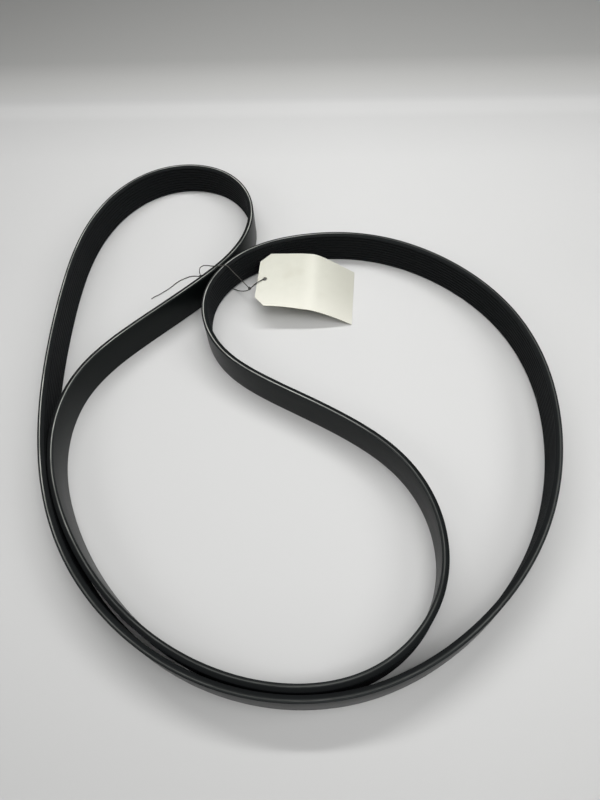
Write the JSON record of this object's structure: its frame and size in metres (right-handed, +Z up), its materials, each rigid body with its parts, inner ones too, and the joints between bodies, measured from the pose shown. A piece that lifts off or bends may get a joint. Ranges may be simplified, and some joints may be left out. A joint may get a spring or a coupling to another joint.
{
  "type": "serpentine belt",
  "caption": "Ribbed rubber drive belt in one closed band, standing on its edge in a double-back loop, with a blank paper tag tied round it by a string.",
  "frame": {"origin": "the middle of the belt's own box, on the surface that its lower cut edge stands on", "axes": "+Z up across the belt's width, +Y away from the viewer to the top of the small loop, +X to the viewer's right"},
  "size_m": [0.4658, 0.593, 0.0385],
  "materials": {
    "belt_rubber": "matt",
    "tag_paper": "matt",
    "string": "matt"
  },
  "bodies": {
    "root": {"belt": "belt_rubber", "tag": "tag_paper", "tag_loop": "string", "near_knot": "string", "far_knot": "string", "string_over": "string", "string_under": "string", "string_tail": "string"}
  },
  "joints": []
}
